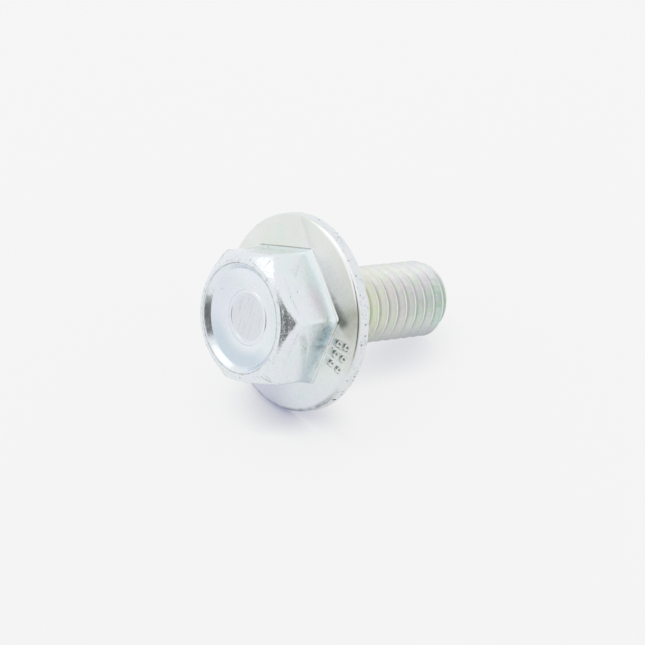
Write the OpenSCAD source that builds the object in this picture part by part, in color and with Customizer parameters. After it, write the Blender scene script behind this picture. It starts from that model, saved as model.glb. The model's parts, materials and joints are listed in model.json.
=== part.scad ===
// Hexagon flange bolt with a dished head and a rolled metric thread.
// It is cold forged in one piece and bright zinc plated.
// It lies as it comes to rest: on the rim of its flange and on the last full
// crest of its thread, with the head towards -X and the thread towards +X.
// The bolt is first built upright, with its bearing face on Z = 0, the head
// above it and the thread below it, and is then laid down.

/* [Thread] */
// Major diameter of the thread, over its crests
thread_d = 6.0; // [5:0.1:7]
// Pitch of the thread
thread_pitch = 1.0; // [0.7:0.05:1.25]
// Angle between the two flanks of the thread
thread_angle = 60; // [55:1:62]
// Turns over which the thread runs out towards the neck
runout_turns = 1.5; // [1:0.25:2.5]

/* [Shank] */
// Length of the shank, from the bearing face to its end
shank_length = 13.3; // [9:0.1:40]
// Length of the plain neck between the bearing face and the thread
neck_length = 1.3; // [1:0.1:3]
// Radius of the fillet under the head
neck_fillet = 0.4; // [0.35:0.05:0.6]
// Diameter of the flat end of the shank
point_d = 5.0; // [3:0.1:5.2]
// Slope of the chamfered end, from the shank's axis
point_angle = 45; // [30:1:60]

/* [Flange] */
// Diameter of the flange
flange_d = 15.2; // [13:0.1:18]
// Height of the flange's rim
rim_height = 1.05; // [0.8:0.05:1.3]
// How much the rim narrows from its back edge to its front edge, on the radius
rim_taper = 0.06; // [0:0.01:0.15]
// Rounding of the rim's back edge, at the bearing face
rim_back_round = 0.12; // [0.05:0.01:0.3]
// Rounding of the rim's front edge
rim_front_round = 0.28; // [0.1:0.01:0.4]
// Slope of the conical top of the flange
cone_angle = 9.5; // [5:0.5:11]

/* [Hexagon] */
// Width of the hexagon across its flats
hex_af = 9.8; // [9:0.1:10.5]
// Width of the hexagon across its rounded corners
hex_corners = 11.18; // [11:0.01:11.26]
// Height of the head, from the bearing face to its top
head_height = 6.2; // [5:0.1:8]
// How far the skirt stands out from the flats at its foot
skirt_flare = 0.2; // [0.1:0.01:0.35]
// Radius of the hollow curve from a flat to the skirt's edge
skirt_radius = 2.0; // [1:0.1:2.5]
// Height of the skirt's edge over the bearing face
skirt_height = 1.6; // [1.5:0.05:2]
// Rounding of the skirt's edge
skirt_round = 0.07; // [0.03:0.01:0.09]
// Turn of the hexagon from a corner that points straight up
hex_turn = -7.2; // [-30:0.1:30]

/* [Top of the head] */
// Outer diameter of the flat land around the dish
land_d = 9.0; // [8.9:0.05:9.6]
// Slope of the chamfer on the hexagon's corners, from the top face
chamfer_angle = 45; // [20:1:50]
// Rounding between the land and the chamfer
land_round = 0.35; // [0.1:0.05:0.5]
// Diameter of the dish in the top face
dish_d = 8.2; // [6:0.1:8.3]
// Depth of the dish in its middle
dish_depth = 0.8; // [0.6:0.05:1.2]
// Depth of the dish at the foot of its wall
dish_wall_depth = 0.45; // [0.3:0.05:0.5]
// Slope of the dish's wall, from the top face
dish_wall_angle = 50; // [45:1:75]
// Fillet between the dish's wall and its floor
dish_fillet = 0.2; // [0.1:0.05:0.3]
// Rounding of the dish's lip
dish_lip = 0.2; // [0.05:0.01:0.25]
// Rounding between the dish's sloped floor and its flat middle
dish_bowl_round = 2.0; // [0.5:0.1:3]
// Diameter of the raised ring in the middle of the dish
ring_d = 3.9; // [3:0.1:4.8]
// Width of that ring
ring_width = 0.4; // [0.2:0.05:0.6]
// Height of that ring
ring_height = 0.09; // [0.04:0.01:0.15]

/* [Pips on the flange] */
// Diameter of a raised pip
pip_d = 0.55; // [0.3:0.05:0.6]
// Height of a raised pip
pip_height = 0.13; // [0.05:0.01:0.2]
// Pips in each of the two rows
pip_count = 3; // [1:1:4]
// Radius of the inner row
pip_row_radius = 5.85; // [5.7:0.05:5.95]
// Distance between the two rows
pip_row_gap = 0.75; // [0.7:0.05:0.8]
// Angle between neighbouring pips of a row
pip_step = 8.5; // [7:0.5:10]

/* [Hidden] */

// Rounds are true curves; this only sets how finely they are drawn
$fn = 64;
// Length by which a cut or a joined shape runs past the face that it meets
over = 0.5;

// The thread, in the standard shares of its pitch
crest_width = thread_pitch / 8;
thread_depth = 0.6134 * thread_pitch;
thread_r = thread_d / 2;
root_r = thread_r - thread_depth;
flank_run = thread_depth * tan(thread_angle / 2);
// The blank that a thread is rolled on is as thick as its pitch diameter
neck_r = thread_r - 0.3248 * thread_pitch;
// Facets round the thread, even, so that one of them faces straight down
thread_sides = 30;
point_r = point_d / 2;
point_length = (thread_r - point_r) / tan(point_angle);
// Distance from the bearing face to the end of the last full crest
full_end = shank_length - point_length;

flange_r = flange_d / 2;
rim_front_r = flange_r - rim_taper;
// The flange's cone runs in under the hexagon, to this radius
cone_inner_r = hex_af / 3;
land_r = land_d / 2;
corner_r = hex_corners / 2;
dish_r = dish_d / 2;
ring_r = ring_d / 2;
chamfer_z = head_height - (corner_r - land_r) * tan(chamfer_angle);
floor_z = head_height - dish_depth;
// Foot of the hexagon, hidden in the flange
foot_z = rim_height / 2;

// The pips stand over the middle of the flat below the foremost corner
pip_middle = hex_turn - 60 - 30 + 3;

// The bolt at rest: the floor's line touches the round of the rim's back edge
// and the last full crest, and that line's slope is the bolt's lean
rim_corner = corner_centre(flange_outline(), flange_rounds(), 1);
touch_run = full_end + rim_corner[1];
touch_rise = rim_corner[0] - thread_r;
lean = atan2(touch_rise, touch_run) + asin(rim_back_round / norm([touch_run, touch_rise]));
bearing_z = full_end * sin(lean) + thread_r * cos(lean);
// The furthest points of the head and of the shank, along the floor
land_corner = corner_centre(top_outline(), top_rounds(), 3);
head_reach = land_corner[1] * cos(lean) + land_corner[0] * sin(lean) + land_round;
shank_reach = shank_length * cos(lean) + point_r * sin(lean);
bearing_x = (head_reach - shank_reach) / 2;

// Rounding of outlines

function unit(v) = v / norm(v);
function before(pts, i) = pts[(i + len(pts) - 1) % len(pts)];
function after(pts, i) = pts[(i + 1) % len(pts)];
function to_before(pts, i) = unit(before(pts, i) - pts[i]);
function to_after(pts, i) = unit(after(pts, i) - pts[i]);
function half_angle(pts, i) = acos(to_before(pts, i) * to_after(pts, i)) / 2;

// Centre of the circle that rounds one corner of a convex outline
function corner_centre(pts, radii, i) =
    pts[i] + unit(to_before(pts, i) + to_after(pts, i)) * radii[i] / sin(half_angle(pts, i));

// The points where that circle meets the two sides
function corner_ends(pts, radii, i) =
    let (reach = radii[i] / tan(half_angle(pts, i)))
    radii[i] > 0
        ? [pts[i] + to_before(pts, i) * reach, pts[i] + to_after(pts, i) * reach]
        : [pts[i]];

// A convex outline with a radius for each of its corners
module rounded_outline(pts, radii) {
    polygon([for (i = [0:len(pts) - 1]) for (p = corner_ends(pts, radii, i)) p]);
    for (i = [0:len(pts) - 1])
        if (radii[i] > 0)
            translate(corner_centre(pts, radii, i)) circle(r = radii[i]);
}

// Flange

// Height of the flange's cone at a radius
function cone_z(r) = rim_height + (rim_front_r - r) * tan(cone_angle);

function flange_outline() = [
    [0, 0], [flange_r, 0], [rim_front_r, rim_height],
    [cone_inner_r, cone_z(cone_inner_r)], [0, cone_z(cone_inner_r)]
];
function flange_rounds() = [0, rim_back_round, rim_front_round, 0, 0];

module flange() {
    rotate_extrude() rounded_outline(flange_outline(), flange_rounds());
}

// Raised pips in two rows on the flange's cone
module pips() {
    ball_r = (pow(pip_d / 2, 2) + pow(pip_height, 2)) / (2 * pip_height);
    for (row = [0:1])
        for (i = [0:pip_count - 1]) {
            r = pip_row_radius + row * pip_row_gap;
            rotate([0, 0, pip_middle + (i - (pip_count - 1) / 2) * pip_step])
                translate([r, 0, cone_z(r)])
                    rotate([0, cone_angle, 0])
                        translate([0, 0, pip_height - ball_r])
                            sphere(r = ball_r);
        }
}

// Hexagon

// Half outline of the head's side: straight down from the top, then out along
// the skirt's hollow curve to its rounded edge, and down into the flange
module side_outline(half_width, top_z) {
    edge_x = half_width + skirt_flare;
    round_x = edge_x - skirt_round;
    round_z = skirt_height - skirt_round;
    hollow_x = half_width + skirt_radius;
    hollow_z = round_z + sqrt(pow(skirt_radius + skirt_round, 2) - pow(hollow_x - round_x, 2));
    // Where the hollow curve meets the rounded edge
    meet = [round_x, round_z]
        + skirt_round * unit([hollow_x - round_x, hollow_z - round_z]);
    translate([0, foot_z]) square([edge_x, round_z - foot_z]);
    translate([round_x, round_z]) circle(r = skirt_round);
    difference() {
        polygon([[0, round_z], [round_x, round_z], meet, [half_width, hollow_z], [0, hollow_z]]);
        translate([hollow_x, hollow_z]) circle(r = skirt_radius);
    }
    translate([0, hollow_z]) square([half_width, top_z - hollow_z]);
}

// A bar as wide as the hexagon across its flats, with the skirt on both sides,
// turned so that it makes one of the three pairs of flats
module hexagon_bar(pair) {
    rotate([90, 0, hex_turn + 30 + 60 * pair])
        linear_extrude(height = flange_d, center = true)
            for (side = [0:1])
                mirror([side, 0]) side_outline(hex_af / 2, head_height + over);
}

// Outline of the turned head, with the chamfer on the hexagon's corners
function top_outline() = [
    [0, foot_z], [corner_r, foot_z], [corner_r, chamfer_z],
    [land_r, head_height], [0, head_height]
];
function top_rounds() = [0, 0, 0, land_round, 0];

// The turned form that rounds the hexagon's corners and chamfers its top
module turned_head() {
    rotate_extrude() {
        rounded_outline(top_outline(), top_rounds());
        side_outline(corner_r, chamfer_z);
    }
}

// The dish has a flat middle, a gently rising floor and a steeper wall
module dish() {
    wall_foot = [dish_r - dish_wall_depth / tan(dish_wall_angle), head_height - dish_wall_depth];
    lip_reach = dish_lip * tan(dish_wall_angle / 2);
    lip = [dish_r, head_height];
    rotate_extrude() {
        rounded_outline(
            [[0, floor_z], [ring_r + ring_width, floor_z], wall_foot, lip,
                lip + [0, over], [0, head_height + over]],
            [0, dish_bowl_round, dish_fillet, 0, 0, 0]);
        difference() {
            polygon([lip + lip_reach * unit(wall_foot - lip), lip + [lip_reach, 0],
                lip + [lip_reach, over], lip + [0, over]]);
            translate(lip + [lip_reach, -dish_lip]) circle(r = dish_lip);
        }
    }
}

// Low ring that the forging punch leaves in the middle of the dish
module centre_ring() {
    bead_r = (pow(ring_width / 2, 2) + pow(ring_height, 2)) / (2 * ring_height);
    rotate_extrude()
        translate([ring_r, floor_z + ring_height - bead_r])
            circle(r = bead_r);
}

module head() {
    difference() {
        intersection() {
            turned_head();
            intersection_for(pair = [0:2]) hexagon_bar(pair);
        }
        dish();
    }
    centre_ring();
}

// Shank

// Plain neck with the fillet under the head
module neck() {
    rotate_extrude() {
        translate([0, -neck_length]) square([neck_r, neck_length + foot_z]);
        difference() {
            translate([0, -neck_fillet]) square([neck_r + neck_fillet, neck_fillet + foot_z]);
            translate([neck_r + neck_fillet, -neck_fillet]) circle(r = neck_fillet);
        }
    }
}

// One pitch of the thread's section, as places along the axis in pitches from
// the middle of a crest, and the radius there
thread_section = [
    [-crest_width / 2 / thread_pitch, thread_r],
    [crest_width / 2 / thread_pitch, thread_r],
    [(crest_width / 2 + flank_run) / thread_pitch, root_r],
    [1 - (crest_width / 2 + flank_run) / thread_pitch, root_r]
];
section_points = len(thread_section);
// The thread is cut off at these distances from the bearing face: inside the
// neck, and past the shank's end, where the point trims it
thread_from = neck_length - over / 2;
thread_to = shank_length + over;
// A crest's middle passes straight below the axis just before the full end
thread_shift = full_end - crest_width / 2 + thread_pitch / 2;
first_turn = -ceil(thread_shift / thread_pitch) - 1;
levels = section_points * (ceil(thread_to / thread_pitch) + 5);
// Two levels closer than this are one
level_slack = 0.002 * thread_pitch;

// Distance from the bearing face of a level on one line along the thread
function level_at(side, k) =
    thread_shift + thread_pitch * (first_turn + floor(k / section_points)
        + thread_section[k % section_points][0] - side / thread_sides);

// Radius of the full thread there
function section_at(pitches) =
    let (p = pitches - floor(pitches))
    lookup(p, concat(
        [for (s = thread_section) [s[0], s[1]]],
        [[thread_section[0][0] + 1, thread_section[0][1]]]));

// Radius of the real thread, which runs out towards the neck
function thread_radius(side, at) =
    let (full = section_at((at - thread_shift) / thread_pitch + side / thread_sides))
    let (rise = max(0, at - neck_length) / (runout_turns * thread_pitch))
    min(full, root_r + rise * thread_depth);

// The last level before the cut in the neck, and the first one past the end
first_level = [for (side = [0:thread_sides])
    max([for (k = [0:levels]) if (level_at(side, k) <= thread_from + level_slack) k])];
last_level = [for (side = [0:thread_sides])
    min([for (k = [0:levels]) if (level_at(side, k) >= thread_to - level_slack) k])];

// Number of a level's point, where lines 0 and thread_sides are the same line,
// one turn apart
function point_no(side, k) =
    let (kept = min(max(k, first_level[side]), last_level[side]))
    side == thread_sides
        ? kept - section_points
        : side * (levels + 1) + kept;

module threaded_rod() {
    wall = [for (side = [0:thread_sides - 1]) for (k = [0:levels])
        let (at = min(max(level_at(side, k), thread_from), thread_to))
        let (r = thread_radius(side, at))
        let (turn = side * 360 / thread_sides)
        [r * cos(turn), r * sin(turn), -at]];
    points = concat(wall, [[0, 0, -thread_from], [0, 0, -thread_to]]);
    from_middle = len(wall);
    to_middle = from_middle + 1;
    flanks = [for (side = [0:thread_sides - 1]) for (k = [0:levels - 1])
        let (a = point_no(side, k))
        let (b = point_no(side + 1, k))
        let (c = point_no(side + 1, k + 1))
        let (d = point_no(side, k + 1))
        for (t = [[a, b, c], [a, c, d]])
            if (t[0] != t[1] && t[1] != t[2] && t[0] != t[2]) t];
    ends = [for (side = [0:thread_sides - 1])
        for (t = [
            [from_middle, point_no(side + 1, 0), point_no(side, 0)],
            [to_middle, point_no(side, levels), point_no(side + 1, levels)]]) t];
    polyhedron(points = points, faces = concat(flanks, ends), convexity = 10);
}

// Turned form that cuts the shank to its length and chamfers its end
module point_form() {
    wide = thread_r + over;
    rotate_extrude()
        polygon([[0, 0], [wide, 0], [wide, over / tan(point_angle) - full_end],
            [point_r, -shank_length], [0, -shank_length]]);
}

module thread() {
    intersection() {
        threaded_rod();
        point_form();
    }
}

// The whole bolt, upright and then at rest

module upright_bolt() {
    flange();
    pips();
    head();
    neck();
    thread();
}

module flange_bolt() {
    color([0.80, 0.82, 0.84])
        translate([bearing_x, 0, bearing_z])
            rotate([0, lean - 90, 0])
                upright_bolt();
}

flange_bolt();
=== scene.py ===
"""A zinc plated hexagon flange bolt that lies at rest: its looks, its studio and its camera.

The bolt is shaped upright in millimetres, with its bearing face at height 0, the head above it
and the thread below it. It is then laid down on the place that the frame gives it, in metres.
"""
import json
import math

import bmesh
import bpy
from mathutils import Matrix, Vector


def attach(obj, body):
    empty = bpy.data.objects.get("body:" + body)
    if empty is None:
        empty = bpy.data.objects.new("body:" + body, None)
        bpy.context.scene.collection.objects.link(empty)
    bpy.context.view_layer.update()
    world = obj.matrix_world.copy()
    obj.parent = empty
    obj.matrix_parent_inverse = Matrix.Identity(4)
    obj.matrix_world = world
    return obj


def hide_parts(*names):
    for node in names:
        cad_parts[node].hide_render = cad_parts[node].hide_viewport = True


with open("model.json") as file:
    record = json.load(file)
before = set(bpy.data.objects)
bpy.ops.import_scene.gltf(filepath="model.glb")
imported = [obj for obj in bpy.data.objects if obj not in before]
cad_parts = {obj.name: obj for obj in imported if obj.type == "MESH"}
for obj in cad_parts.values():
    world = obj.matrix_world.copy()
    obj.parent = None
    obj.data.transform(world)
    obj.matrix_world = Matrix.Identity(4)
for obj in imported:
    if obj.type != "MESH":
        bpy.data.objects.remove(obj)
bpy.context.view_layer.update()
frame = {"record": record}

MM = 0.001

# Place of the bolt: the middle of its bearing face, and its lean from lying flat
MOUNTS = {mount["name"]: mount for mount in frame["record"]["mounts"]}
BEARING = MOUNTS["bearing_face"]
MIDDLE = Vector((BEARING["pos_m"][0], 0, BEARING["pos_m"][2]))
LEAN = math.asin(-BEARING["axis"][2])

# Camera
VIEW_TURN = math.radians(-39.03)
VIEW_HEIGHT = math.radians(36.75)
VIEW_DISTANCE = 205.5 * MM
LENS = 150.7
FILM_WIDTH = 36
# How far the middle of the picture lies to the right of the bearing's middle, and above it
PICTURE_RIGHT = 1.68 * MM
PICTURE_UP = -0.84 * MM

# Thread, in millimetres as all that follows, with the depths of the standard metric form
THREAD_R = 3.0
PITCH = 1.0
THREAD_DEPTH = 0.6134 * PITCH
ROOT_R = THREAD_R - THREAD_DEPTH
CREST_ROUND = 0.11 * PITCH
ROOT_ROUND = 0.13 * PITCH
FLANK_SLOPE = math.radians(30)
RUNOUT = 1.5 * PITCH
# How far the shank's trim reaches past the crests, and past the neck into the flange
TRIM_SPARE = 0.3
THREAD_STEPS = 96
# Steps from the middle of a crest or a root to its flank
ROUND_STEPS = 5
# How far before the end of the full thread its last crest passes straight below the axis
LAST_CREST = PITCH / 16

# Shank
SHANK = 13.3
NECK = 1.3
NECK_R = THREAD_R - 0.3248 * PITCH
NECK_FILLET = 0.4
# How far the flange's foot lies inside the thread's roots
FOOT_INSET = 0.02
POINT_R = 2.5
POINT_SLOPE = math.radians(45)
FULL_END = SHANK - (THREAD_R - POINT_R) / math.tan(POINT_SLOPE)

# Flange
FLANGE_R = 7.6
RIM_HEIGHT = 1.05
RIM_TAPER = 0.06
RIM_BACK_ROUND = 0.12
RIM_FRONT_ROUND = 0.28
CONE_SLOPE = math.radians(9.5)

# Hexagon
HEX_HALF = 4.9
HEX_TURN = math.radians(-7.2)
CORNER_ROUND = 0.42
HEAD_HEIGHT = 6.2
FLARE = 0.2
HOLLOW_R = 2.0
SKIRT_HEIGHT = 1.6
SKIRT_ROUND = 0.11
# Steps around the skirt's ridge and up its hollow
RIDGE_STEPS = 4
HOLLOW_STEPS = 8

# Top of the head
LAND_R = 4.5
CHAMFER_SLOPE = math.radians(45)
LAND_ROUND = 0.35
DISH_R = 4.1
DISH_DEPTH = 0.8
DISH_WALL_DEPTH = 0.45
DISH_WALL_SLOPE = math.radians(50)
DISH_WALL_FOOT = DISH_R - DISH_WALL_DEPTH / math.tan(DISH_WALL_SLOPE)
DISH_FLOOR = HEAD_HEIGHT - DISH_DEPTH
DISH_FILLET = 0.2
DISH_LIP = 0.2
BOWL_ROUND = 2.0
RING_R = 1.95
RING_WIDTH = 0.4
RING_HEIGHT = 0.09
RING_STEPS = 8

# Raised pips on the flange, in two rows below the foremost corner
PIP_R = 0.275
PIP_HEIGHT = 0.13
PIP_ROWS = (5.85, 6.6)
PIP_MIDDLE = HEX_TURN + math.radians(3 - 90)
PIP_STEP = math.radians(8.5)

# Pits and dents, each as (distance from the axis, turn in degrees, height, radius, depth)
PITS = [
    (7.60, -59.3, 0.44, 0.13, 0.06), (7.60, -62.6, 0.52, 0.11, 0.05), (7.60, -66.6, 0.41, 0.12, 0.06),
    (7.58, -72.1, 0.78, 0.13, 0.05), (7.58, -44.9, 0.60, 0.12, 0.05), (7.59, -84.0, 0.36, 0.14, 0.05),
    (7.57, -115.8, 0.86, 0.30, 0.09), (7.60, -124.3, 0.45, 0.34, 0.12), (7.58, -133.3, 0.60, 0.28, 0.08),
    (7.59, -97.0, 0.62, 0.20, 0.06), (7.59, -21.0, 0.40, 0.16, 0.05), (7.58, 34.0, 0.55, 0.20, 0.06),
    (7.59, 81.0, 0.35, 0.15, 0.05), (7.58, 122.0, 0.66, 0.24, 0.07), (7.59, 163.0, 0.48, 0.16, 0.05),
    (4.90, -41.4, 4.23, 0.13, 0.04), (4.93, -45.2, 5.10, 0.11, 0.04), (4.96, -28.5, 3.90, 0.09, 0.03),
    (4.92, -92.0, 3.40, 0.12, 0.03), (4.95, 38.0, 3.70, 0.14, 0.04), (4.98, 101.0, 4.20, 0.12, 0.04)]
# Pits in the dish's floor beside the ring, as (x, y, radius, depth)
FLOOR_PITS = [(2.62, 0.02, 0.12, 0.04), (2.74, -0.36, 0.10, 0.04), (0.85, 3.05, 0.10, 0.03)]

# Dark chip in the deepest dent of the rim
CHIP_TURN = math.radians(-124.3)
CHIP_PLACE = (FLANGE_R * math.cos(CHIP_TURN), FLANGE_R * math.sin(CHIP_TURN), 0.36)
CHIP_R = 0.16

# Small roundings where faces meet, and the angle from which an edge gets one
EDGE_ROUND = 0.36
CREASE_ROUND = 0.06
CREASE_ANGLE = math.radians(24)
# The chamfer's edges lie outside this radius
CHAMFER_START = LAND_R + 0.25
# Faces that meet at less than this are shaded as one round surface
SMOOTH_ANGLE = math.radians(30)
# How far an edge may lie off the cone and still belong to it
CONE_REACH = 0.03

# Sides of a turned form, and of the balls that make pips and pits, around and from pole to pole
SIDES = 240
PIP_SIDES = (32, 24)
PIT_SIDES = (20, 14)
# Corners closer than this are one: after a cut, and after a step that leaves them exactly together
NEAR_AFTER_CUT = 0.002
TOGETHER = 0.0005


# Shaping


def deselect_objects():
    bpy.ops.object.select_all(action="DESELECT")


def make_active(piece):
    deselect_objects()
    piece.select_set(True)
    bpy.context.view_layer.objects.active = piece


def start_disc(name, radius, height, sides, turn=0.0):
    """A filled disc, open for shaping in edit mode with its face selected."""
    deselect_objects()
    bpy.ops.mesh.primitive_circle_add(
        vertices=sides, radius=radius, fill_type="NGON", location=(0, 0, height), rotation=(0, 0, turn))
    piece = bpy.context.object
    piece.name = name
    bpy.ops.object.transform_apply(location=True, rotation=True, scale=True)
    bpy.ops.object.mode_set(mode="EDIT")
    bpy.ops.mesh.select_mode(type="FACE")
    bpy.ops.mesh.select_all(action="SELECT")
    return piece


def rise_to(rise, scale):
    """Extrudes the selected face upwards by a rise, and then makes it wider or narrower."""
    bpy.ops.mesh.extrude_region_move(TRANSFORM_OT_translate={"value": (0, 0, rise)})
    bpy.ops.transform.resize(value=(scale, scale, 1), center_override=(0, 0, 0))


def select_edges(piece, wanted):
    """Selects, in edit mode, the edges that a test of their two ends picks out."""
    bpy.ops.mesh.select_mode(type="EDGE")
    bpy.ops.mesh.select_all(action="DESELECT")
    mesh = bmesh.from_edit_mesh(piece.data)
    found = 0
    for edge in mesh.edges:
        if wanted(edge):
            edge.select_set(True)
            found += 1
    bmesh.update_edit_mesh(piece.data)
    return found


def radius_of(point):
    return math.hypot(point.x, point.y)


def bevel_ring(piece, ring, reach, segments):
    """Rounds the ring of edges at a (radius, height), over a reach on both sides."""
    near = 0.004
    radius, height = ring

    def on_ring(edge):
        return all(
            abs(radius_of(corner.co) - radius) < near and abs(corner.co.z - height) < near
            for corner in edge.verts)

    select_edges(piece, on_ring)
    bpy.ops.mesh.bevel(offset=reach, offset_type="OFFSET", segments=segments, affect="EDGES")


def corner_reach(before, corner, after, rounding):
    """Distance from a corner to where a circle of that rounding touches its two sides."""
    a = (Vector(before) - Vector(corner)).normalized()
    b = (Vector(after) - Vector(corner)).normalized()
    return rounding / math.tan(math.acos(max(-1, min(1, a.dot(b)))) / 2)


def turned(name, outline, rounds, sides=SIDES):
    """A closed turned form. The outline runs from its lower face to its upper one, as (radius, height),
    and rounds gives some of its corners a radius and a number of segments."""
    piece = start_disc(name, outline[0][0], outline[0][1], sides)
    for (r0, z0), (r1, z1) in zip(outline, outline[1:]):
        rise_to(z1 - z0, r1 / r0)
    bpy.ops.mesh.select_all(action="SELECT")
    bpy.ops.mesh.normals_make_consistent(inside=False)
    closed = [(0, outline[0][1])] + outline + [(0, outline[-1][1])]
    for i, (rounding, segments) in rounds.items():
        reach = corner_reach(closed[i], closed[i + 1], closed[i + 2], rounding)
        bevel_ring(piece, outline[i], reach, segments)
    bpy.ops.object.mode_set(mode="OBJECT")
    return piece


def apply_modifier(piece, kind, **settings):
    make_active(piece)
    modifier = piece.modifiers.new(kind.lower(), kind)
    for key, value in settings.items():
        setattr(modifier, key, value)
    bpy.ops.object.modifier_apply(modifier=modifier.name)


def combine(piece, other, operation):
    """Joins, cuts or intersects a piece with another, which is used up."""
    apply_modifier(piece, "BOOLEAN", operation=operation, solver="EXACT", object=other)
    bpy.data.objects.remove(other, do_unlink=True)


# The bolt's own parts


def cone_height(radius):
    return RIM_HEIGHT + (FLANGE_R - RIM_TAPER - radius) * math.tan(CONE_SLOPE)


def make_flange():
    """The rise of the thread's roots, the neck with its fillet, the bearing face, the rim and the cone."""
    front_r = FLANGE_R - RIM_TAPER
    inner_r = HEX_HALF * 2 / 3
    outline = [
        (ROOT_R - FOOT_INSET, -NECK - RUNOUT), (NECK_R, -NECK), (NECK_R, 0), (FLANGE_R, 0),
        (front_r, RIM_HEIGHT), (inner_r, cone_height(inner_r))]
    rounds = {2: (NECK_FILLET, 6), 3: (RIM_BACK_ROUND, 4), 4: (RIM_FRONT_ROUND, 6)}
    return turned("flange", outline, rounds)


def skirt_profile():
    """The hexagon's side from its foot up: (distance from the axis, height)."""
    edge = HEX_HALF + FLARE
    round_x, round_z = edge - SKIRT_ROUND, SKIRT_HEIGHT - SKIRT_ROUND
    hollow_x = HEX_HALF + HOLLOW_R
    rise = math.sqrt((HOLLOW_R + SKIRT_ROUND) ** 2 - (hollow_x - round_x) ** 2)
    hollow_z = round_z + rise
    meet = math.atan2(rise, hollow_x - round_x)
    points = [(edge, RIM_HEIGHT / 2), (edge, round_z)]
    points += [
        (round_x + SKIRT_ROUND * math.cos(meet * i / RIDGE_STEPS),
         round_z + SKIRT_ROUND * math.sin(meet * i / RIDGE_STEPS))
        for i in range(1, RIDGE_STEPS + 1)]
    points += [
        (hollow_x - HOLLOW_R * math.cos(meet * (1 - i / HOLLOW_STEPS)),
         hollow_z - HOLLOW_R * math.sin(meet * (1 - i / HOLLOW_STEPS)))
        for i in range(1, HOLLOW_STEPS + 1)]
    points.append((HEX_HALF, HEAD_HEIGHT + 1))
    return points


def make_hexagon():
    """A six sided bar with rounded corners and a flared skirt."""
    profile = skirt_profile()
    x0, z0 = profile[0]
    # A new disc's first corner points along Y, and the bolt's turn is counted from X
    piece = start_disc("hexagon", x0 / math.cos(math.radians(30)), z0, 6, HEX_TURN - math.pi / 2)
    bpy.ops.mesh.bevel(
        offset=CORNER_ROUND * math.tan(math.radians(30)), offset_type="OFFSET", segments=6,
        affect="VERTICES")
    bpy.ops.mesh.select_mode(type="FACE")
    bpy.ops.mesh.select_all(action="SELECT")
    for (x0, z0), (x1, z1) in zip(profile, profile[1:]):
        rise_to(z1 - z0, x1 / x0)
    bpy.ops.mesh.select_all(action="SELECT")
    bpy.ops.mesh.normals_make_consistent(inside=False)
    bpy.ops.object.mode_set(mode="OBJECT")
    return piece


def make_turned_top():
    """The chamfer, the land, the dish and its ring, as one turned form that trims the hexagon."""
    wide = HEX_HALF * 1.5
    outline = [
        (wide, 0), (wide, HEAD_HEIGHT - (wide - LAND_R) * math.tan(CHAMFER_SLOPE)), (LAND_R, HEAD_HEIGHT),
        (DISH_R, HEAD_HEIGHT), (DISH_WALL_FOOT, HEAD_HEIGHT - DISH_WALL_DEPTH),
        (RING_R + RING_WIDTH, DISH_FLOOR)]
    outline += [
        (RING_R + RING_WIDTH / 2 * math.cos(math.pi * i / RING_STEPS),
         DISH_FLOOR + RING_HEIGHT * math.sin(math.pi * i / RING_STEPS) ** 2)
        for i in range(RING_STEPS + 1)]
    rounds = {2: (LAND_ROUND, 6), 3: (DISH_LIP, 5), 4: (DISH_FILLET, 5), 5: (BOWL_ROUND, 6)}
    return turned("turned_top", outline, rounds)


def soften_creases(piece, reach, segments, where):
    """Rounds the sharp edges of a piece in the region that a test of their middle picks out."""
    make_active(piece)
    bpy.ops.object.mode_set(mode="EDIT")
    bpy.ops.mesh.select_mode(type="VERT")
    bpy.ops.mesh.select_all(action="SELECT")
    bpy.ops.mesh.remove_doubles(threshold=NEAR_AFTER_CUT)

    def is_crease(edge):
        middle = (edge.verts[0].co + edge.verts[1].co) / 2
        return edge.calc_face_angle(0) > CREASE_ANGLE and where(radius_of(middle), middle.z)

    if select_edges(piece, is_crease):
        bpy.ops.mesh.bevel(offset=reach, offset_type="OFFSET", segments=segments, affect="EDGES")
        bpy.ops.mesh.select_all(action="SELECT")
        bpy.ops.mesh.remove_doubles(threshold=TOGETHER)
    bpy.ops.object.mode_set(mode="OBJECT")


def make_head():
    head = make_hexagon()
    head.name = "head"
    combine(head, make_turned_top(), "INTERSECT")
    soften_creases(head, EDGE_ROUND, 7, lambda r, z: r > CHAMFER_START and z > SKIRT_HEIGHT + HOLLOW_R)
    return head


def round_corner(radius, start_r, start_z, way):
    """Quarter of a rounded crest or root, from its middle to where the straight flank begins."""
    turn = math.pi / 2 - FLANK_SLOPE
    return [
        (start_r + way * radius * (1 - math.cos(turn * i / ROUND_STEPS)),
         start_z + radius * math.sin(turn * i / ROUND_STEPS))
        for i in range(ROUND_STEPS + 1)]


def thread_outline():
    """One pitch of the thread, from the middle of a root up to the next one: (radius, height)."""
    root = round_corner(ROOT_ROUND, ROOT_R, 0, 1)
    crest = round_corner(CREST_ROUND, THREAD_R, 0, -1)
    up = root + [(r, PITCH / 2 - z) for r, z in reversed(crest)]
    down = [(r, PITCH - z) for r, z in reversed(up[:-1])]
    return up + down


def close_end(piece, height):
    """Closes the open end of the rod that lies nearest to a height, with a fan from the axis."""
    select_edges(piece, lambda edge: edge.is_boundary and abs(edge.verts[0].co.z - height) < 1.5 * PITCH)
    bpy.ops.mesh.extrude_region_move(TRANSFORM_OT_translate={"value": (0, 0, 0)})
    bpy.ops.transform.resize(value=(0, 0, 0), center_override=(0, 0, height))
    bpy.ops.mesh.select_mode(type="VERT")
    bpy.ops.mesh.select_all(action="SELECT")
    bpy.ops.mesh.remove_doubles(threshold=TOGETHER)


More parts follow.
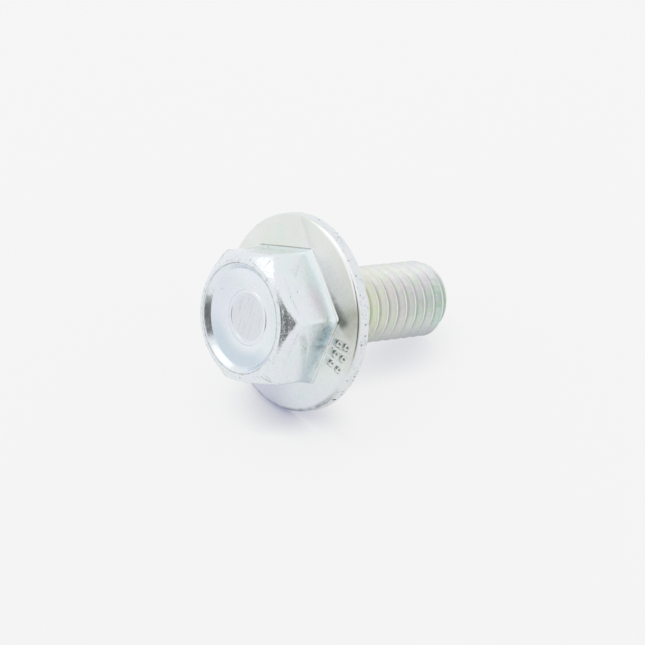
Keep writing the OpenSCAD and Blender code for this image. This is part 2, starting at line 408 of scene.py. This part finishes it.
def make_rod():
    """A threaded rod, longer than the thread, from one pitch of its outline turned along the helix."""
    turns = math.ceil((SHANK - NECK) / PITCH) + 2
    base = -FULL_END - 2 * PITCH + LAST_CREST
    outline = thread_outline()
    # A small plane, merged to one corner, is drawn out along the outline
    deselect_objects()
    bpy.ops.mesh.primitive_plane_add(size=0.1, location=(outline[0][0], 0, base))
    piece = bpy.context.object
    piece.name = "rod"
    bpy.ops.object.transform_apply(location=True, rotation=True, scale=True)
    bpy.ops.object.mode_set(mode="EDIT")
    bpy.ops.mesh.select_mode(type="VERT")
    bpy.ops.mesh.select_all(action="SELECT")
    bpy.ops.mesh.merge(type="CENTER")
    for (r0, z0), (r1, z1) in zip(outline, outline[1:]):
        bpy.ops.mesh.extrude_region_move(TRANSFORM_OT_translate={"value": (r1 - r0, 0, z1 - z0)})
    bpy.ops.object.mode_set(mode="OBJECT")
    apply_modifier(
        piece, "SCREW", axis="Z", angle=math.tau, screw_offset=PITCH, iterations=turns,
        steps=THREAD_STEPS, render_steps=THREAD_STEPS)
    bpy.ops.object.mode_set(mode="EDIT")
    bpy.ops.mesh.select_all(action="SELECT")
    bpy.ops.mesh.remove_doubles(threshold=TOGETHER)
    close_end(piece, base + PITCH / 2)
    close_end(piece, base + (turns + 0.5) * PITCH)
    bpy.ops.mesh.select_all(action="SELECT")
    bpy.ops.mesh.normals_make_consistent(inside=False)
    bpy.ops.object.mode_set(mode="OBJECT")
    return piece


def make_thread():
    """The rod, cut to its length, with a chamfered end and a run-out towards the neck."""
    wide = THREAD_R + TRIM_SPARE
    slope = (THREAD_R - NECK_R) / RUNOUT
    outline = [
        (POINT_R, -SHANK), (wide, -SHANK + (wide - POINT_R) / math.tan(POINT_SLOPE)),
        (wide, -NECK - (wide - NECK_R) / slope), (NECK_R - slope * TRIM_SPARE, TRIM_SPARE - NECK)]
    thread = make_rod()
    combine(thread, turned("shank_trim", outline, {}), "INTERSECT")
    return thread


def make_ball(place, radius, sides):
    deselect_objects()
    bpy.ops.mesh.primitive_uv_sphere_add(
        segments=sides[0], ring_count=sides[1], radius=radius, location=place)
    ball = bpy.context.object
    bpy.ops.object.transform_apply(location=True, rotation=True, scale=True)
    return ball


def cap_ball_radius(radius, height):
    """Radius of the ball whose cap has that foot radius and height."""
    return (radius ** 2 + height ** 2) / (2 * height)


def make_pip(radius, turn):
    """A low round cap that stands square on the flange's cone."""
    ball_r = cap_ball_radius(PIP_R, PIP_HEIGHT)
    out = Vector((math.cos(turn), math.sin(turn), 0))
    foot = out * radius + Vector((0, 0, cone_height(radius)))
    square = out * math.sin(CONE_SLOPE) + Vector((0, 0, math.cos(CONE_SLOPE)))
    return make_ball(foot + square * (PIP_HEIGHT - ball_r), ball_r, PIP_SIDES)


def make_flange_with_pips():
    flange = make_flange()
    for radius in PIP_ROWS:
        for step in (-1, 0, 1):
            combine(flange, make_pip(radius, PIP_MIDDLE + step * PIP_STEP), "UNION")
    return flange


def pit_ball(foot, out, radius, depth):
    """A ball that cuts a round pit of a radius and a depth where the surface faces outwards."""
    ball_r = cap_ball_radius(radius, depth)
    return make_ball(foot + out * (ball_r - depth), ball_r, PIT_SIDES)


def dish_height(radius):
    """Height of the dish's sloped floor."""
    start_r = RING_R + RING_WIDTH
    return DISH_FLOOR + (DISH_DEPTH - DISH_WALL_DEPTH) * max(0, radius - start_r) / (DISH_WALL_FOOT - start_r)


def wear(piece):
    """Cuts the pits and dents that handling has left."""
    balls = []
    for distance, turn, height, radius, depth in PITS:
        turn = math.radians(turn)
        out = Vector((math.cos(turn), math.sin(turn), 0))
        balls.append(pit_ball(out * distance + Vector((0, 0, height)), out, radius, depth))
    for x, y, radius, depth in FLOOR_PITS:
        foot = Vector((x, y, dish_height(math.hypot(x, y))))
        balls.append(pit_ball(foot, Vector((0, 0, 1)), radius, depth))
    deselect_objects()
    for ball in balls:
        ball.select_set(True)
    bpy.context.view_layer.objects.active = balls[0]
    bpy.ops.object.join()
    combine(piece, balls[0], "DIFFERENCE")


def make_bolt():
    bolt = make_head()
    combine(bolt, make_flange_with_pips(), "UNION")
    soften_creases(
        bolt, CREASE_ROUND, 3, lambda r, z: r > HEX_HALF and abs(z - cone_height(r)) < CONE_REACH)
    combine(bolt, make_thread(), "UNION")
    wear(bolt)
    bolt.name = "plated_bolt"
    return bolt


def lay_down(piece):
    """Brings the upright piece, in millimetres, to its place at rest, in metres."""
    make_active(piece)
    piece.scale = (MM, MM, MM)
    piece.rotation_euler = (0, LEAN - math.pi / 2, 0)
    piece.location = MIDDLE
    bpy.ops.object.transform_apply(location=True, rotation=True, scale=True)


# The zinc finish

# Tint along the bolt, from the thread's end at 0 to the head's top at 1, and how far it drifts
TINTS_ALONG = [
    (0.0, (0.84, 1.0, 0.98)), (0.14, (0.93, 0.98, 1.0)), (0.32, (0.98, 1.0, 0.95)),
    (0.52, (0.99, 1.0, 0.76)), (0.64, (0.97, 1.0, 0.60)), (0.70, (0.86, 0.88, 0.89)),
    (0.735, (0.80, 0.835, 0.80)), (0.765, (0.80, 0.835, 0.80)), (0.80, (0.83, 0.875, 0.91)),
    (1.0, (0.84, 0.885, 0.94))]
TINT_DRIFT = 0.03
# Tints of the film's patches, over the range of their noise
PATCH_TINTS = [
    (0.30, (0.70, 0.94, 0.88)), (0.42, (0.90, 0.96, 0.82)), (0.52, (0.92, 0.94, 0.96)),
    (0.62, (0.97, 0.88, 0.93)), (0.74, (0.76, 0.88, 0.98))]

# Film over single places, and painted light and shade at some of them
# Painted reflection of the floor's bluish shadow on the cone's low side, and painted shade at its low left
CONE_FLOOR_REFLECTION = (0.75, 0.80, 0.87)
CONE_LOW_LEFT_SHADE = (0.62, 0.63, 0.78)
# Painted light in the hollows on the upper side, and painted shade over the film's teal on the low side
HOLLOW_LIT_BLUE = (0.88, 0.97, 1.0)
HOLLOW_SHADED_TEAL = (0.50, 0.64, 0.71)
HOLLOW_SHADED_SLATE = (0.34, 0.42, 0.46)
# The film's pink on the right face
FACE_PINK = (0.90, 0.83, 0.93)
# Painted shade in the dish at its left and low side, and painted light at its top
DISH_LEFT_SHADE = (0.74, 0.77, 0.87)
BOWL_LOW_SHADE = (0.62, 0.72, 0.80)
DISH_TOP_LIGHT = (0.90, 0.94, 1.0)
# Darker grey inside the ring, and the dull rim's own grey
RING_GREY = (0.72, 0.745, 0.79)
RIM_GREY = (0.87, 0.90, 0.935)
# Painted light on the rim's low side
RIM_LOW_LIGHT = (0.95, 0.985, 1.0)

# Grime and wear, and painted shade and highlights
# Painted shade on the thread: in its roots, on its underside, and dimming the highlights on its crests and
# top
ROOT_SHADE = (0.30, 0.31, 0.28)
CREST_SHADE = (0.30, 0.31, 0.29)
UNDERSIDE_SHADE = (0.42, 0.44, 0.43)
TOPSIDE_SHADE = (0.66, 0.61, 0.62)
# Painted shade on the cone right of the skirt, and a painted contact shadow by the foremost corner
CONE_OLIVE_SHADE = (0.46, 0.47, 0.37)
CONE_GREY_SHADE = (0.42, 0.44, 0.40)
CORNER_SHADE = (0.13, 0.15, 0.14)
# Grime with a painted gap shadow on the flange's low edge
EDGE_DIRT_AND_SHADOW = (0.26, 0.28, 0.31)
# Painted shade along the dish's lip
LIP_SHADE = (0.30, 0.32, 0.34)
# Specks, scuffs, pocks and a chip
SPECK_DARK = (0.14, 0.15, 0.15)
SCUFF_GREY = (0.34, 0.36, 0.38)
POCK_DARK = (0.20, 0.21, 0.22)
CHIP_BLACK = (0.05, 0.05, 0.06)
# Painted shade on the skirt's ridge, and painted highlights on it and on the flange's front edge
RIDGE_SHADE = (0.28, 0.30, 0.32)
PAINTED_HIGHLIGHT = (0.97, 0.975, 0.98)

# Depths in the forged skin, in millimetres
WAVE_DEPTH = 0.016
GRAIN_DEPTH = 0.0045
SPECK_DEPTH = -0.02
SCUFF_DEPTH = -0.012
POCK_DEPTH = -0.03
SCRATCH_DEPTH = -0.008
THREAD_GRAIN_DEPTH = 0.05
CHAMFER_GRAIN_DEPTH = 0.05


class NodeBench:
    """Short ways to add and join the nodes of one material."""

    def __init__(self, material):
        self.tree = material.node_tree

    def add(self, kind, **inputs):
        node = self.tree.nodes.new(kind)
        for name, value in inputs.items():
            self.feed(node, name.replace("_", " "), value)
        return node

    def feed(self, node, name, value):
        self.fill(node.inputs[name], value)

    def fill(self, socket, value):
        """Joins a socket to another one, or gives it a constant, with a colour as red, green and blue."""
        if isinstance(value, bpy.types.NodeSocket):
            self.tree.links.new(value, socket)
        elif socket.type == "RGBA":
            socket.default_value = (*value, 1)
        else:
            socket.default_value = value

    def steady(self, direction):
        """A fixed direction, as a socket."""
        node = self.tree.nodes.new("ShaderNodeCombineXYZ")
        for socket, value in zip(node.inputs, direction):
            self.fill(socket, value)
        return node.outputs[0]

    def measure(self, operation, place, other):
        """A number that a place makes with a fixed direction or point."""
        node = self.tree.nodes.new("ShaderNodeVectorMath")
        node.operation = operation
        self.fill(node.inputs[0], place)
        self.fill(node.inputs[1], other)
        return node.outputs["Value"]

    def along(self, place, turn):
        """How far a place lies out in a level direction."""
        return self.measure("DOT_PRODUCT", place, (math.cos(turn), math.sin(turn), 0))

    def spot(self, place, middle, radius):
        """1 inside a ball of that radius, and 0 outside of it."""
        return self.window(self.measure("DISTANCE", place, middle), radius * 1.25, radius * 0.75)

    def calculate(self, operation, *values):
        node = self.tree.nodes.new("ShaderNodeMath")
        node.operation = operation
        for socket, value in zip(node.inputs, values):
            self.fill(socket, value)
        return node.outputs[0]

    def times(self, first, *others):
        """The product of some sockets and numbers."""
        product = first
        for other in others:
            product = self.calculate("MULTIPLY", product, other)
        return product

    def window(self, value, low, high, to_low=0.0, to_high=1.0, pace="SMOOTHSTEP"):
        """Maps a range to another one, smoothly unless the pace says otherwise."""
        node = self.tree.nodes.new("ShaderNodeMapRange")
        node.interpolation_type = pace
        names = ("Value", "From Min", "From Max", "To Min", "To Max")
        for name, number in zip(names, (value, low, high, to_low, to_high)):
            self.feed(node, name, number)
        return node.outputs["Result"]

    def band(self, value, low, high, soft=0.05):
        """1 between two limits, and 0 outside of them."""
        return self.times(
            self.window(value, low - soft, low + soft), self.window(value, high + soft, high - soft))

    def noise(self, place, scale, detail, roughness, distortion=0.0):
        node = self.add(
            "ShaderNodeTexNoise", Vector=place, Scale=scale, Detail=detail, Roughness=roughness,
            Distortion=distortion)
        return node.outputs["Fac"]

    def cells(self, place, scale):
        """Random cells: the distance from a cell's middle, and two numbers drawn for each cell."""
        node = self.add("ShaderNodeTexVoronoi", Vector=place, Scale=scale)
        drawn = self.add("ShaderNodeSeparateColor", Color=node.outputs["Color"])
        return node.outputs["Distance"], drawn.outputs["Red"], drawn.outputs["Green"]

    def ramp(self, value, stops):
        node = self.add("ShaderNodeValToRGB", Fac=value)
        elements = node.color_ramp.elements
        while len(elements) < len(stops):
            elements.new(0.5)
        for element, (position, color) in zip(elements, stops):
            element.position = position
            element.color = (*color, 1)
        return node.outputs["Color"]

    def blend(self, share, below, above):
        """Lays one colour over another one, with a share from 0 to 1."""
        node = self.tree.nodes.new("ShaderNodeMix")
        node.data_type = "RGBA"
        for socket, value in ((node.inputs[0], share), (node.inputs[6], below), (node.inputs[7], above)):
            self.fill(socket, value)
        return node.outputs[2]


def start_material(name):
    """A new material, with its bench and its shader."""
    material = bpy.data.materials.new(name)
    material.use_nodes = True
    return material, NodeBench(material), material.node_tree.nodes["Principled BSDF"]


class BoltPlace:
    """Where a point of the surface lies on the upright bolt, in millimetres, and on which part of it."""

    def __init__(self, bench):
        lying = bench.add("ShaderNodeTexCoord").outputs["Object"]
        mapping = bench.add(
            "ShaderNodeMapping", Vector=lying, Location=MIDDLE, Rotation=(0, LEAN - math.pi / 2, 0),
            Scale=(MM, MM, MM))
        mapping.vector_type = "TEXTURE"
        self.point = mapping.outputs["Vector"]
        self.x, self.y, self.z = bench.add("ShaderNodeSeparateXYZ", Vector=self.point).outputs
        squares = bench.calculate("ADD", bench.times(self.x, self.x), bench.times(self.y, self.y))
        self.radius = bench.calculate("SQRT", squares)
        # How far out it lies towards the right face, towards the top face, and along the right face
        # to the foremost corner
        self.right_face, self.top_face, self.to_corner = (
            bench.along(self.point, HEX_TURN + math.radians(turn)) for turn in (-30, 30, -120))
        # 1 on a part and 0 off it
        self.cone = bench.times(
            bench.window(self.z, 0.85, 1.0), bench.window(self.z, SKIRT_HEIGHT + 0.15, SKIRT_HEIGHT))
        self.rim = bench.times(
            bench.window(self.radius, FLANGE_R - 0.2, FLANGE_R - 0.08), bench.window(self.z, 1.0, 0.8))
        self.thread = bench.window(self.z, -NECK, -NECK - 1)
        # A coarse noise that makes several kinds of grime and painted shade uneven
        self.coarse = bench.noise(self.point, 1.3, 3, 0.6)


def film_tint_and_cone_shade(bench, at):
    """The clear film's tint along the bolt, under patches that are stronger on the thread, with a painted
    reflection and painted shade on the cone's low side.
    """
    drift = bench.noise(at.point, 0.28, 2, 0.5, 0.6)
    along = bench.calculate(
        "ADD", bench.window(at.z, -SHANK, HEAD_HEIGHT, pace="LINEAR"),
        bench.window(drift, 0.2, 0.8, -TINT_DRIFT, TINT_DRIFT))
    tint = bench.ramp(along, TINTS_ALONG)
    # The cone's low side gets a painted reflection of the floor's bluish shadow, and its low left a lavender
    # painted shade
    low_side = bench.window(at.x, 0.0, -5.0, 0.0, 0.85)
    tint = bench.blend(bench.times(at.cone, low_side), tint, CONE_FLOOR_REFLECTION)
    low_left = bench.times(bench.window(at.x, -2.5, -5.5), bench.window(at.y, -3.2, -0.3))
    tint = bench.blend(bench.times(at.cone, low_left, 0.75), tint, CONE_LOW_LEFT_SHADE)
    patches = bench.ramp(bench.noise(at.point, 0.55, 3, 0.55, 1.2), PATCH_TINTS)
    return bench.blend(bench.window(at.z, -8.0, 0.0, 0.6, 0.2), tint, patches)


def tint_and_shade_faces(bench, at, color):
    """The hollows above the skirt's ridge, film blue with painted light above and film teal with painted
    shade below, and a pink film on the right face.
    """
    low_side = bench.window(at.x, 2.2, 1.2)
    hollow = bench.times(
        bench.window(at.radius, HEX_HALF - 0.1, HEX_HALF - 0.02),
        bench.window(at.z, bench.calculate("MULTIPLY_ADD", low_side, 0.5, 3.1), 2.1),
        bench.window(at.z, SKIRT_HEIGHT - 0.03, SKIRT_HEIGHT + 0.08))
    # Below the foremost corner the hollow gets painted shade, a mottled teal, which fades towards its low end
    mottle = bench.window(bench.noise(at.point, 1.6, 3, 0.6), 0.46, 0.64)
    low_shaded_film = bench.blend(mottle, HOLLOW_SHADED_TEAL, HOLLOW_SHADED_SLATE)
    low_share = bench.times(low_side, bench.window(at.to_corner, 3.6, 5.2, 0.9, 0.4))
    high_share = bench.window(low_side, 0.0, 1.0, 0.8, 0.0)
    share = bench.times(hollow, bench.calculate("ADD", low_share, high_share))
    color = bench.blend(share, color, bench.blend(low_side, HOLLOW_LIT_BLUE, low_shaded_film))
    pink = bench.times(
        bench.band(at.z, 2.2, 3.4, 0.5), bench.band(at.to_corner, 0.2, 2.3, 0.7),
        bench.window(at.right_face, HEX_HALF - 0.1, HEX_HALF - 0.02), 0.6)
    return bench.blend(pink, color, FACE_PINK)


def tint_and_shade_dish(bench, at, color):
    """The dish: painted shade, lilac at its left and blue at its low side, painted light at its top, and a
    darker grey inside the ring.
    """
    dish = bench.times(
        bench.window(at.radius, DISH_R - 0.2, DISH_R - 0.5),
        bench.window(at.z, HEAD_HEIGHT - 1.0, HEAD_HEIGHT - 0.9))
    left = bench.window(at.y, 0.0, 3.5, 0.0, 0.5)
    low = bench.times(bench.window(at.radius, 2.2, 3.1), bench.window(at.x, -0.8, -2.6), 0.8)
    top = bench.window(at.x, 1.8, 3.2, 0.0, 0.7)
    ring = bench.window(at.radius, RING_R, RING_R - 0.4, 0.0, 0.6)
    for share, tone in ((left, DISH_LEFT_SHADE), (low, BOWL_LOW_SHADE), (top, DISH_TOP_LIGHT), (ring, RING_GREY)):
        color = bench.blend(bench.times(dish, share), color, tone)
    return color


def shade_thread(bench, at, color):
    """Painted shade in the thread's roots and on its underside, and a little on its crests and its top, mauve
    there, that dims their highlights.
    """
    root = bench.window(at.radius, ROOT_R + 0.30, ROOT_R + 0.08, 0.0, 0.42)
    crest = bench.window(at.radius, THREAD_R - 0.14, THREAD_R - 0.05, 0.0, 0.12)
    underside = bench.window(at.x, 0.6, -2.4, 0.0, 0.5)
    topside = bench.window(at.x, 1.6, 2.8, 0.0, 0.25)
    tones = (
        (root, ROOT_SHADE), (crest, CREST_SHADE), (underside, UNDERSIDE_SHADE), (topside, TOPSIDE_SHADE))
    for share, tone in tones:
        color = bench.blend(bench.times(at.thread, share), color, tone)
    return color


def shade_cone(bench, at, color):
    """Painted shade on the cone: olive and grey right of the skirt, and a dark patch by the foremost corner
    as a painted contact shadow.
    """
    olive = bench.times(
        at.cone, bench.band(at.to_corner, 2.6, 4.5, 1.0), bench.window(at.right_face, 4.4, 5.2),
        bench.window(at.coarse, 0.3, 0.7, 0.6, 0.95))
    color = bench.blend(olive, color, CONE_OLIVE_SHADE)
    grey = bench.times(
        at.cone, bench.window(at.right_face, 2.0, 4.8), bench.window(at.to_corner, -3.0, 2.0, 0.0, 0.3))
    color = bench.blend(grey, color, CONE_GREY_SHADE)
    # The painted shadow's ragged border lies further from the skirt the nearer it comes to the corner
    ragged = bench.window(bench.noise(at.point, 2.2, 2, 0.5), 0.2, 0.8, -0.12, 0.12)
    border = bench.window(at.to_corner, 0.0, 3.2, 5.30, 5.62)
    beyond = bench.calculate("SUBTRACT", bench.calculate("ADD", at.right_face, ragged), border)
    corner_shadow = bench.times(
        bench.window(beyond, 0.22, -0.45), bench.window(at.to_corner, -1.5, 3.0, 0.1, 0.95),
        bench.window(at.to_corner, 3.9, 3.3), bench.window(at.right_face, HEX_HALF - 0.3, HEX_HALF),
        at.cone, bench.window(at.z, SKIRT_HEIGHT - 0.02, SKIRT_HEIGHT - 0.12), 0.85)
    return bench.blend(corner_shadow, color, CORNER_SHADE)


def grime_and_shade_flange_edge(bench, at, color):
    """The dull rim with painted light towards its low side, and grime with a painted gap shadow on the
    flange's low edge.
    """
    rim_tone = bench.blend(bench.window(at.x, 1.0, -3.5), RIM_GREY, RIM_LOW_LIGHT)
    color = bench.blend(bench.times(at.rim, 0.85), color, rim_tone)
    dirt_and_shadow = bench.times(
        bench.window(at.radius, FLANGE_R - 0.42, FLANGE_R - 0.12), bench.window(at.x, -2.0, -5.5),
        bench.window(at.z, 0.55, 0.95), bench.window(at.coarse, 0.35, 0.6, 0.35, 0.75))
    return bench.blend(dirt_and_shadow, color, EDGE_DIRT_AND_SHADOW)


def shade_lip(bench, at, color):
    """A thin uneven line of painted shade around the dish's lip."""
    off_line = bench.calculate("ABSOLUTE", bench.calculate("SUBTRACT", at.radius, DISH_R + 0.07))
    line = bench.times(
        bench.window(off_line, 0.06, 0.02), bench.window(at.z, HEAD_HEIGHT - 0.15, HEAD_HEIGHT - 0.08),
        bench.window(at.coarse, 0.4, 0.6, 0.25, 0.6))
    return bench.blend(line, color, LIP_SHADE)


def find_specks(bench, at):
    """Small specks of several sizes on the head and the flange."""
    distance, drawn, size = bench.cells(at.point, 1.5)
    outside = bench.calculate("SUBTRACT", distance, bench.times(size, 0.14))
    return bench.times(
        bench.window(drawn, 0.80, 0.82), bench.window(outside, 0.03, -0.03), bench.window(at.z, -0.5, 0.0))


def find_scuffs(bench, at):
    """Fine marks on the worn land and its edge, and on the rim."""
    land = bench.times(
        bench.window(at.z, HEAD_HEIGHT - 0.35, HEAD_HEIGHT - 0.1),
        bench.window(at.radius, DISH_R, DISH_R + 0.1))
    marks = bench.window(bench.noise(at.point, 4.5, 3, 0.7, 0.4), 0.54, 0.66)
    return bench.times(
        bench.calculate("MAXIMUM", land, at.rim), marks, bench.window(at.coarse, 0.42, 0.6))


def find_pocks(bench, at):
    """Round pocks on the rim."""
    distance, drawn, _ = bench.cells(at.point, 2.6)
    return bench.times(bench.window(drawn, 0.70, 0.72), bench.window(distance, 0.26, 0.12), at.rim)


def shade_and_light_edges(bench, at, color):
    """Painted shade on the skirt's ridge by the top face; painted highlights on it by the right face and on
    the flange's front edge."""
    ridge = bench.times(
        bench.window(at.z, SKIRT_HEIGHT + 0.06, SKIRT_HEIGHT - 0.01),
        bench.window(at.z, SKIRT_HEIGHT - 0.18, SKIRT_HEIGHT - 0.12))
    ridge_foot, ridge_tip = HEX_HALF + 0.05, HEX_HALF + FLARE + 0.03
    dark = bench.times(ridge, bench.band(at.top_face, ridge_foot, ridge_tip), 0.6)
    color = bench.blend(dark, color, RIDGE_SHADE)
    front = bench.times(
        bench.window(at.radius, FLANGE_R - 0.36, FLANGE_R - 0.28), bench.window(at.z, 0.8, 0.9),
        bench.window(at.x, 3.2, 5.0), bench.window(at.y, 0.5, -2.0))
    right = bench.times(ridge, bench.band(at.right_face, ridge_foot, ridge_tip))
    return bench.blend(bench.times(bench.calculate("MAXIMUM", right, front), 0.9), color, PAINTED_HIGHLIGHT)


def gloss(bench, at):
    """Roughness: duller on the rim and the worn land, and satin from the neck down."""
    land = bench.times(
        bench.window(at.z, HEAD_HEIGHT - 0.12, HEAD_HEIGHT - 0.02),
        bench.window(at.radius, LAND_R - 0.05, LAND_R - 0.15))
    satin = bench.window(at.z, -0.2, -1.0, 0.0, 0.22)
    rough = bench.window(bench.noise(at.point, 3.2, 4, 0.6), 0.3, 0.7, 0.18, 0.28)
    for more in (bench.times(at.rim, 0.28), bench.times(land, 0.14), satin):
        rough = bench.calculate("ADD", rough, more)
    return rough


def find_scratches(bench, at):
    """Slanting scratches that cross the inside of the ring."""
    slant = bench.add(
        "ShaderNodeMapping", Vector=at.point, Rotation=(0, 0, math.radians(24)), Scale=(0.35, 9, 1))
    return bench.times(
        bench.window(bench.noise(slant.outputs["Vector"], 1.0, 2, 0.5), 0.60, 0.68),
        bench.window(at.radius, RING_R - 0.1, RING_R - 0.5),
        bench.window(at.z, HEAD_HEIGHT - 1.2, HEAD_HEIGHT - 1.0))


def forged_skin(bench, at, speck, scuff, pock):
    """Height of the skin in millimetres: long soft waves, a fine grain, and what the marks take away."""
    chamfer = bench.times(
        bench.window(at.radius, LAND_R + 0.1, LAND_R + 0.3), bench.window(at.z, 4.9, 5.2))
    layers = (
        (bench.noise(at.point, 0.9, 2, 0.5), WAVE_DEPTH), (speck, SPECK_DEPTH), (scuff, SCUFF_DEPTH),
        (at.thread, bench.times(bench.noise(at.point, 2.8, 3, 0.6), THREAD_GRAIN_DEPTH)),
        (pock, POCK_DEPTH),
        (chamfer, bench.times(bench.noise(at.point, 3.0, 3, 0.6), CHAMFER_GRAIN_DEPTH)),
        (find_scratches(bench, at), SCRATCH_DEPTH))
    height = bench.times(bench.noise(at.point, 7.0, 5, 0.62), GRAIN_DEPTH)
    for where, depth in layers:
        height = bench.calculate("MULTIPLY_ADD", where, depth, height)
    return height


def zinc():
    """Bright zinc under a thin clear film, with its grime and its wear, and with painted light and shade."""
    material, bench, shader = start_material("bright_zinc")
    at = BoltPlace(bench)
    speck, scuff, pock = find_specks(bench, at), find_scuffs(bench, at), find_pocks(bench, at)
    chip = bench.spot(at.point, CHIP_PLACE, CHIP_R)
    color = film_tint_and_cone_shade(bench, at)
    for lay_on in (tint_and_shade_faces, tint_and_shade_dish, shade_thread, shade_cone, grime_and_shade_flange_edge, shade_lip):
        color = lay_on(bench, at, color)
    marks = (
        (speck, 0.6, SPECK_DARK), (scuff, 0.5, SCUFF_GREY), (pock, 0.75, POCK_DARK), (chip, 0.9, CHIP_BLACK))
    for mark, share, tone in marks:
        color = bench.blend(bench.times(mark, share), color, tone)
    shader.inputs["Metallic"].default_value = 1
    bench.feed(shader, "Base Color", shade_and_light_edges(bench, at, color))
    bench.feed(shader, "Roughness", gloss(bench, at))
    height = forged_skin(bench, at, speck, scuff, pock)
    bump = bench.add("ShaderNodeBump", Strength=1.0, Distance=MM, Height=height)
    bench.feed(shader, "Normal", bump.outputs["Normal"])
    return material


# The studio

WHITE = (1, 1, 1)
FLOOR_SIZE = 4
FLOOR_TONE = (0.1, 0.1, 0.1)
FLOOR_GLOW = 0.815
WORLD_LEVEL = 0.91
CARD_PALE = (0.85, 0.85, 0.85)
# The bolt shades the floor bluish, from this near and from this side of the sky
SHADE_BLUE = (0.26, 0.28, 0.45)
SHADE_REACH = 4.5 * MM
SHADE_SIDE = (-0.17, 0.59, 0.79)
SHADE_SAMPLES = 16
# Roughness of the floor and the card
MATT = 0.9


def make_camera():
    data = bpy.data.cameras.new("camera")
    data.lens = LENS
    data.sensor_width = FILM_WIDTH
    data.clip_start = VIEW_DISTANCE / 20
    data.clip_end = VIEW_DISTANCE * 20
    camera = bpy.data.objects.new("camera", data)
    bpy.context.scene.collection.objects.link(camera)
    right = Vector((math.cos(VIEW_TURN), math.sin(VIEW_TURN), 0))
    back = Vector((
        math.sin(VIEW_TURN) * math.cos(VIEW_HEIGHT), -math.cos(VIEW_TURN) * math.cos(VIEW_HEIGHT),
        math.sin(VIEW_HEIGHT)))
    up = back.cross(right)
    camera.location = MIDDLE + right * PICTURE_RIGHT + up * PICTURE_UP + back * VIEW_DISTANCE
    camera.rotation_mode = "QUATERNION"
    camera.rotation_quaternion = (-back).to_track_quat("-Z", "Y")
    bpy.context.scene.camera = camera


def make_floor():
    """A lit table, which the bolt shades softly where it lies close."""
    deselect_objects()
    bpy.ops.mesh.primitive_plane_add(size=FLOOR_SIZE)
    floor = bpy.context.object
    floor.name = "floor"
    material, bench, shader = start_material("white_floor")
    bench.feed(shader, "Base Color", FLOOR_TONE)
    shader.inputs["Roughness"].default_value = MATT
    shader.inputs["Specular IOR Level"].default_value = 0.1
    near = bench.add(
        "ShaderNodeAmbientOcclusion", Distance=SHADE_REACH, Normal=bench.steady(SHADE_SIDE))
    near.samples = SHADE_SAMPLES
    place = bench.add("ShaderNodeTexCoord").outputs["Object"]
    out = bench.add("ShaderNodeSeparateXYZ", Vector=place).outputs["X"]
    # The shade is deepest under the head, and weakest under the thread's end
    shade = bench.times(
        bench.window(near.outputs["AO"], 0.9, 0.0), bench.window(out, -4 * MM, 3 * MM, 1.12, 0.55),
        bench.window(out, 2 * MM, 10 * MM, 1.08, 0.35))
    bench.feed(shader, "Emission Color", bench.blend(shade, WHITE, SHADE_BLUE))
    rays = bench.add("ShaderNodeLightPath")
    seen = bench.calculate("MAXIMUM", rays.outputs["Is Camera Ray"], rays.outputs["Is Glossy Ray"])
    seen = bench.calculate("MAXIMUM", seen, rays.outputs["Is Transmission Ray"])
    bench.feed(shader, "Emission Strength", bench.times(seen, FLOOR_GLOW))
    floor.data.materials.append(material)


def direction(turn, height):
    """Direction from the bolt, where 0 degrees is -Y and 90 degrees is +X."""
    turn, height = math.radians(turn), math.radians(height)
    return Vector((math.sin(turn) * math.cos(height), -math.cos(turn) * math.cos(height), math.sin(height)))


def make_card(name, turn, distance, width, height, shade):
    """An upright matt card, dark in its middle, that stands by the bolt out of the camera's sight."""
    deselect_objects()
    bpy.ops.mesh.primitive_plane_add(
        size=1, location=direction(turn, 0) * distance + Vector((0, 0, height / 2)),
        rotation=(math.pi / 2, 0, math.radians(turn)))
    card = bpy.context.object
    card.name = name
    card.scale = (width, height, 1)
    card.visible_camera = False
    material, bench, shader = start_material(name)
    place = bench.add("ShaderNodeTexCoord").outputs["Object"]
    across, up, _ = bench.add("ShaderNodeSeparateXYZ", Vector=place).outputs
    dark = bench.times(bench.band(across, -0.38, 0.38, 0.12), bench.band(up, -0.42, 0.36, 0.14))
    bench.feed(shader, "Base Color", bench.blend(dark, CARD_PALE, (shade, shade, shade)))
    shader.inputs["Roughness"].default_value = MATT
    shader.inputs["Specular IOR Level"].default_value = 0
    card.data.materials.append(material)


def make_lamp(name, turn, height, distance, size, power):
    """A square soft lamp that points at the bolt."""
    data = bpy.data.lights.new(name, "AREA")
    data.shape = "SQUARE"
    data.size = size
    data.energy = power
    lamp = bpy.data.objects.new(name, data)
    bpy.context.scene.collection.objects.link(lamp)
    lamp.location = direction(turn, height) * distance
    lamp.rotation_mode = "QUATERNION"
    lamp.rotation_quaternion = (-direction(turn, height)).to_track_quat("-Z", "Y")


def make_world():
    world = bpy.data.worlds.new("studio")
    bpy.context.scene.world = world
    world.use_nodes = True
    background = world.node_tree.nodes["Background"]
    background.inputs["Color"].default_value = (*WHITE, 1)
    background.inputs["Strength"].default_value = WORLD_LEVEL


make_camera()
bolt = make_bolt()
lay_down(bolt)
make_active(bolt)
bpy.ops.object.shade_smooth_by_angle(angle=SMOOTH_ANGLE)
bolt.data.materials.clear()
bolt.data.materials.append(zinc())
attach(bolt, "root")
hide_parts("flange_bolt")
make_floor()
make_world()
make_card("dark_card", turn=309, distance=75 * MM, width=50 * MM, height=120 * MM, shade=0.265)
make_lamp("top_lamp", turn=205, height=66, distance=500 * MM, size=380 * MM, power=0.14)
bpy.context.scene.view_settings.view_transform = "Standard"
